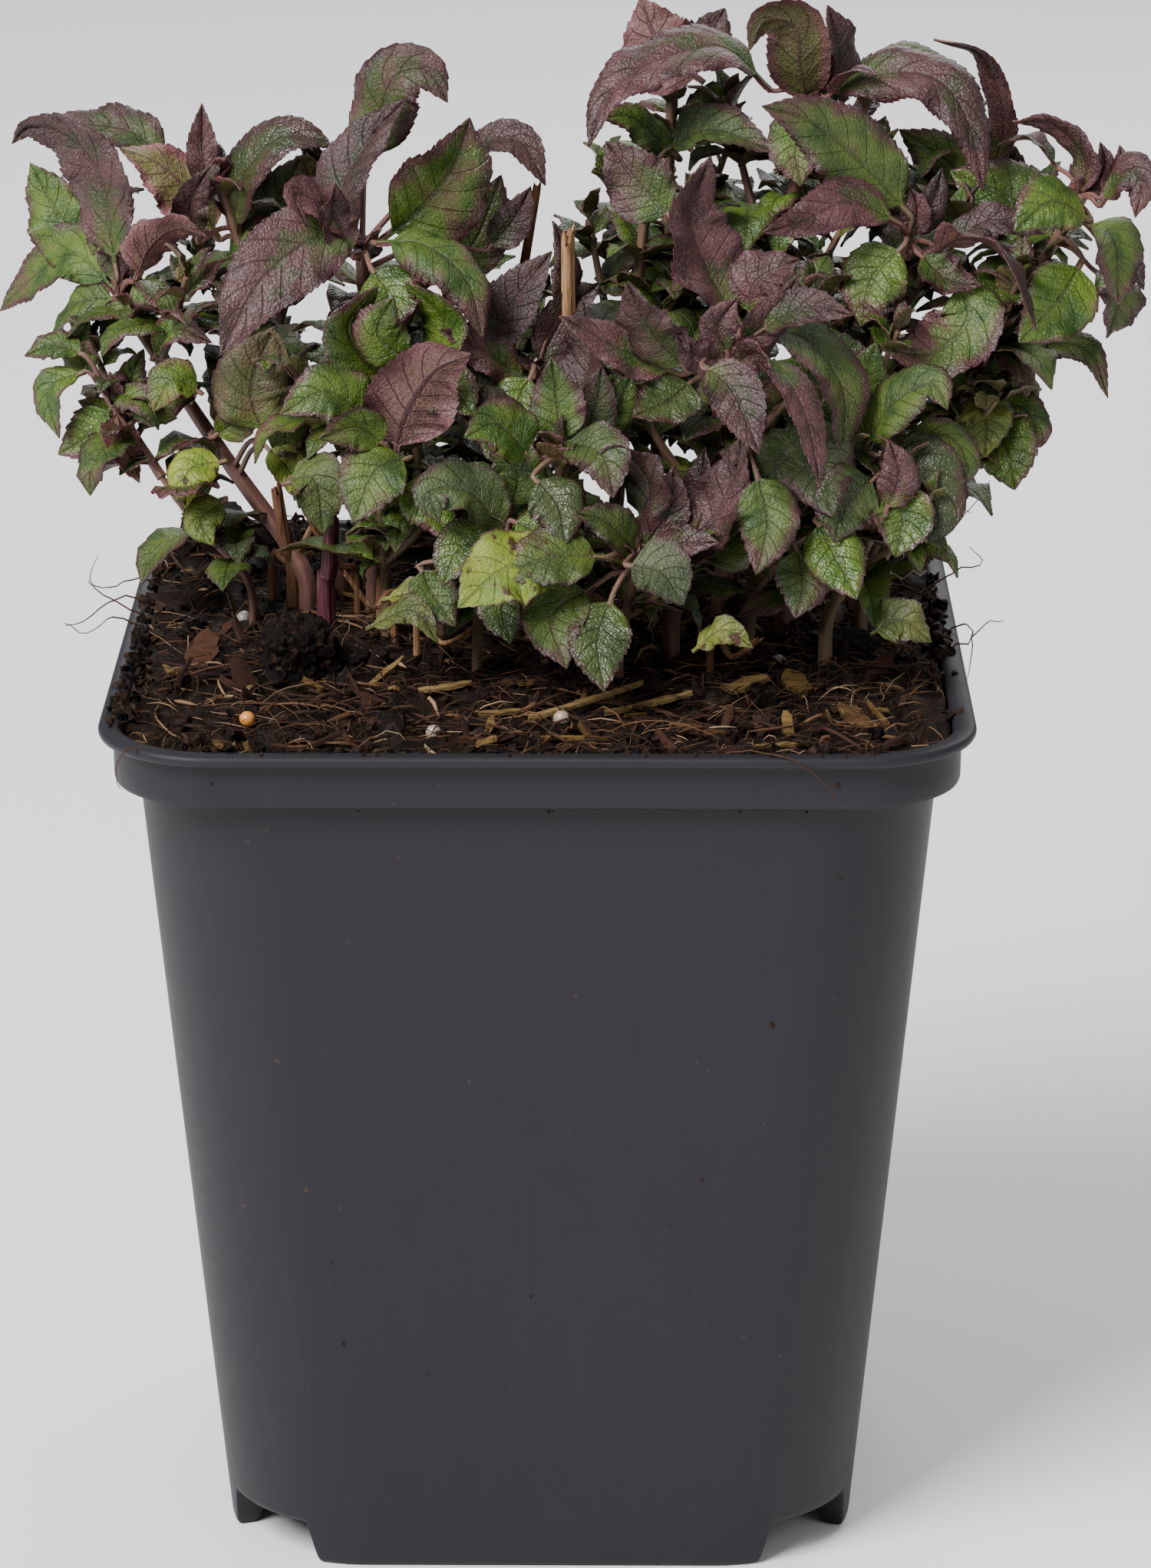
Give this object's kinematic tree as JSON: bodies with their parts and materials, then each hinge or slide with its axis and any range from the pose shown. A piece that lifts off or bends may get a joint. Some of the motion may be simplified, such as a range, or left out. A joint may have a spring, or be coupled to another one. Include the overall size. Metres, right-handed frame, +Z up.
{
  "type": "potted bee balm",
  "caption": "Young bee balm with purple-tinged serrated leaves on square stems, growing in a square black plastic nursery pot filled with peat potting soil.",
  "frame": {"origin": "on the pot's vertical axis, on the surface that the four feet stand on", "axes": "+Z up; -Y is the front, the side that is seen first; +X to the right seen from the front"},
  "size_m": [0.1478, 0.11, 0.1962],
  "materials": {
    "pot_plastic": "dark charcoal grey thin polypropylene, satin, slightly glossier on the lip",
    "potting_soil": "moist dark brown peat with pale root fibres, bark chips and a few fertiliser beads; wood stands in for peat",
    "green_stem": "pinkish brown square stem, finely hairy",
    "dry_stem": "dry straw-brown cut stem",
    "green_leaf": "dull mid green leaf with impressed veins and a purple serrated margin; fabric stands in for leaf tissue",
    "purple_leaf": "purple-bronze young leaf with fine pebbled surface; fabric stands in for leaf tissue"
  },
  "bodies": {
    "root": {"leaf_a_curled": "purple_leaf", "leaf_a_left": "green_leaf", "leaf_a_low": "purple_leaf", "leaf_b_left": "purple_leaf", "leaf_b_right": "green_leaf", "leaf_b_upright": "purple_leaf", "leaf_c_back": "purple_leaf", "leaf_c_down": "purple_leaf", "leaf_c_left": "green_leaf", "leaf_c_right": "green_leaf", "leaf_d_low": "purple_leaf", "leaf_e_left": "purple_leaf", "leaf_e_right": "purple_leaf", "leaf_e_up": "purple_leaf", "leaf_f_large": "green_leaf", "leaf_f_left": "purple_leaf", "leaf_f_right": "purple_leaf", "leaf_g_down": "purple_leaf", "leaf_g_left": "purple_leaf", "leaf_g_tall": "green_leaf", "leaf_h_left": "purple_leaf", "leaf_h_low": "purple_leaf", "leaf_h_right": "purple_leaf", "leaf_i_left": "green_leaf", "leaf_i_right": "purple_leaf", "leaf_j_tall": "green_leaf", "leaf_k_left": "purple_leaf", "leaf_l_left": "purple_leaf", "leaf_m_left": "green_leaf", "leaf_p_left": "purple_leaf", "leaf_q_front": "green_leaf", "leaf_w_curled": "purple_leaf", "leaf_x_left": "purple_leaf", "old_stem_left": "dry_stem", "old_stem_right": "dry_stem", "pot": "pot_plastic", "potting_soil": "potting_soil", "stem_a": "green_stem", "stem_b": "green_stem", "stem_c": "green_stem", "stem_d": "green_stem", "stem_e": "green_stem", "stem_f": "green_stem", "stem_g": "green_stem", "stem_h": "green_stem", "stem_i": "green_stem", "stem_j": "green_stem", "stem_k": "green_stem", "stem_l": "green_stem", "stem_m": "green_stem", "stem_n": "green_stem", "stem_o": "green_stem", "stem_p": "green_stem", "stem_q": "green_stem", "stem_s": "green_stem", "stem_t": "green_stem", "stem_w": "green_stem", "stem_x": "green_stem", "stem_y": "green_stem", "stem_z": "green_stem"}
  },
  "joints": []
}
